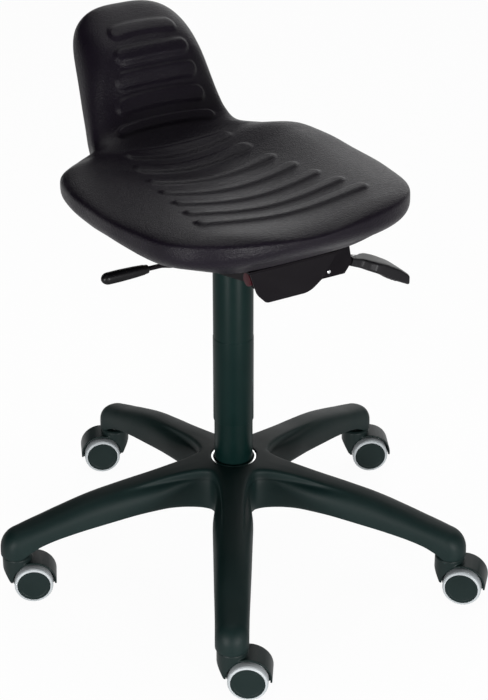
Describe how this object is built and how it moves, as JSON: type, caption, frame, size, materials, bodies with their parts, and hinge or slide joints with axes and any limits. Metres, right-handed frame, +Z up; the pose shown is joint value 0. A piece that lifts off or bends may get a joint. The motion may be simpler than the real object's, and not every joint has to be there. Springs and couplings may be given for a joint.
{
  "type": "perch stool",
  "caption": "Perch stool with a ribbed one-piece foam seat and short back, height and tilt levers, gas spring column and a castor base.",
  "frame": {"origin": "middle of the bounding box on the floor", "axes": "+Z up, the front of the seat towards -Y, the sitter's left towards +X"},
  "size_m": [0.6312, 0.633, 0.693],
  "materials": {
    "base_plastic": "moulded, fine satin grain",
    "zinc": "zinc plated, satin",
    "bright_steel": "ground and polished",
    "wheel_plastic": "moulded, satin",
    "tyre": "soft light grey tread, matt",
    "column_paint": "semi-gloss paint",
    "cover_plastic": "semi-gloss tube",
    "black_plastic": "moulded, satin",
    "pressed_steel": "black powder coat",
    "red_plastic": "dark, satin",
    "plywood": "bare",
    "foam": "integral skin foam with a fine leathery grain"
  },
  "bodies": {
    "base": {"base_star": "base_plastic", "hub_sleeve": "zinc", "standpipe": "column_paint", "guide_bush": "black_plastic"},
    "lift_rod": {"piston_rod": "bright_steel", "thrust_bearing": "bright_steel", "rod_clip": "zinc"},
    "column": {"gas_cylinder": "column_paint", "cover_tube": "cover_plastic", "tilt_housing": "pressed_steel", "tilt_pivot_shaft": "bright_steel", "pivot_cap": "red_plastic"},
    "seat": {"seat_bracket": "pressed_steel", "seat_board": "plywood", "seat_pad": "foam", "seat_screw_1": "zinc", "seat_screw_2": "zinc", "seat_screw_3": "zinc", "seat_screw_4": "zinc", "wing_rivet": "bright_steel"},
    "height_lever": {"height_lever_rod": "pressed_steel", "height_lever_grip": "black_plastic"},
    "release_pin": {"release_pin": "bright_steel"},
    "lock_lever": {"lock_shaft": "bright_steel", "lock_paddle": "black_plastic"},
    "castor_1": {"castor_1_hood": "base_plastic", "castor_1_stem": "bright_steel", "castor_1_axle": "bright_steel"},
    "castor_1_left": {"castor_1_wheel_left": "wheel_plastic", "castor_1_tyre_left": "tyre"},
    "castor_1_right": {"castor_1_wheel_right": "wheel_plastic", "castor_1_tyre_right": "tyre"},
    "castor_2": {"castor_2_hood": "base_plastic", "castor_2_stem": "bright_steel", "castor_2_axle": "bright_steel"},
    "castor_2_left": {"castor_2_wheel_left": "wheel_plastic", "castor_2_tyre_left": "tyre"},
    "castor_2_right": {"castor_2_wheel_right": "wheel_plastic", "castor_2_tyre_right": "tyre"},
    "castor_3": {"castor_3_hood": "base_plastic", "castor_3_stem": "bright_steel", "castor_3_axle": "bright_steel"},
    "castor_3_left": {"castor_3_wheel_left": "wheel_plastic", "castor_3_tyre_left": "tyre"},
    "castor_3_right": {"castor_3_wheel_right": "wheel_plastic", "castor_3_tyre_right": "tyre"},
    "castor_4": {"castor_4_hood": "base_plastic", "castor_4_stem": "bright_steel", "castor_4_axle": "bright_steel"},
    "castor_4_left": {"castor_4_wheel_left": "wheel_plastic", "castor_4_tyre_left": "tyre"},
    "castor_4_right": {"castor_4_wheel_right": "wheel_plastic", "castor_4_tyre_right": "tyre"},
    "castor_5": {"castor_5_hood": "base_plastic", "castor_5_stem": "bright_steel", "castor_5_axle": "bright_steel"},
    "castor_5_left": {"castor_5_wheel_left": "wheel_plastic", "castor_5_tyre_left": "tyre"},
    "castor_5_right": {"castor_5_wheel_right": "wheel_plastic", "castor_5_tyre_right": "tyre"}
  },
  "joints": [
    {"name": "seat_swivel", "type": "hinge", "parent": "base", "child": "lift_rod", "pos_m": [-0.00701, -0.01714, 0.09], "axis": [0, 0, 1], "continuous": true},
    {"name": "height_slide", "type": "slide", "parent": "lift_rod", "child": "column", "axis": [0, 0, 1], "range_m": [-0.05, 0.12]},
    {"name": "seat_tilt", "type": "hinge", "parent": "column", "child": "seat", "pos_m": [-0.00701, -0.14214, 0.475], "axis": [1, 0, 0], "range_deg": [-3, 10]},
    {"name": "height_lever", "type": "hinge", "parent": "column", "child": "height_lever", "pos_m": [-0.05076, -0.01714, 0.4503], "axis": [0, 1, 0], "range_deg": [0, 2.6]},
    {"name": "release_pin", "type": "slide", "parent": "column", "child": "release_pin", "axis": [0, 0, -1], "range_m": [0, 0.002]},
    {"name": "tilt_lock", "type": "hinge", "parent": "seat", "child": "lock_lever", "pos_m": [0.07299, -0.11014, 0.449], "axis": [1, 0, 0], "range_deg": [0, 20]},
    {"name": "castor_1_swivel", "type": "hinge", "parent": "base", "child": "castor_1", "pos_m": [-0.15616, -0.27166, 0.0612], "axis": [0, 0, 1], "continuous": true},
    {"name": "castor_1_left_roll", "type": "hinge", "parent": "castor_1", "child": "castor_1_left", "pos_m": [-0.13924, -0.28289, 0.025], "axis": [0.553, 0.8332, 0], "continuous": true},
    {"name": "castor_1_right_roll", "type": "hinge", "parent": "castor_1", "child": "castor_1_right", "pos_m": [-0.13924, -0.28289, 0.025], "axis": [0.553, 0.8332, 0], "continuous": true},
    {"name": "castor_2_swivel", "type": "hinge", "parent": "base", "child": "castor_2", "pos_m": [0.18896, -0.23764, 0.0612], "axis": [0, 0, 1], "continuous": true},
    {"name": "castor_2_left_roll", "type": "hinge", "parent": "castor_2", "child": "castor_2_left", "pos_m": [0.20367, -0.25163, 0.025], "axis": [0.6892, 0.7245, 0], "continuous": true},
    {"name": "castor_2_right_roll", "type": "hinge", "parent": "castor_2", "child": "castor_2_right", "pos_m": [0.20367, -0.25163, 0.025], "axis": [0.6892, 0.7245, 0], "continuous": true},
    {"name": "castor_3_swivel", "type": "hinge", "parent": "base", "child": "castor_3", "pos_m": [0.26325, 0.1011, 0.0612], "axis": [0, 0, 1], "continuous": true},
    {"name": "castor_3_left_roll", "type": "hinge", "parent": "castor_3", "child": "castor_3_left", "pos_m": [0.28144, 0.09209, 0.025], "axis": [0.4442, 0.8959, 0], "continuous": true},
    {"name": "castor_3_right_roll", "type": "hinge", "parent": "castor_3", "child": "castor_3_right", "pos_m": [0.28144, 0.09209, 0.025], "axis": [0.4442, 0.8959, 0], "continuous": true},
    {"name": "castor_4_swivel", "type": "hinge", "parent": "base", "child": "castor_4", "pos_m": [-0.03595, 0.27644, 0.0612], "axis": [0, 0, 1], "continuous": true},
    {"name": "castor_4_left_roll", "type": "hinge", "parent": "castor_4", "child": "castor_4_left", "pos_m": [-0.05456, 0.28455, 0.025], "axis": [-0.3999, -0.9166, 0], "continuous": true},
    {"name": "castor_4_right_roll", "type": "hinge", "parent": "castor_4", "child": "castor_4_right", "pos_m": [-0.05456, 0.28455, 0.025], "axis": [-0.3999, -0.9166, 0], "continuous": true},
    {"name": "castor_5_swivel", "type": "hinge", "parent": "base", "child": "castor_5", "pos_m": [-0.29516, 0.04605, 0.0612], "axis": [0, 0, 1], "continuous": true},
    {"name": "castor_5_left_roll", "type": "hinge", "parent": "castor_5", "child": "castor_5_left", "pos_m": [-0.27679, 0.03742, 0.025], "axis": [0.4253, 0.9051, 0], "continuous": true},
    {"name": "castor_5_right_roll", "type": "hinge", "parent": "castor_5", "child": "castor_5_right", "pos_m": [-0.27679, 0.03742, 0.025], "axis": [0.4253, 0.9051, 0], "continuous": true}
  ],
  "couplings": [
    {"joint": "release_pin", "follows": "height_lever", "m_per_rad": 0.04375}
  ]
}
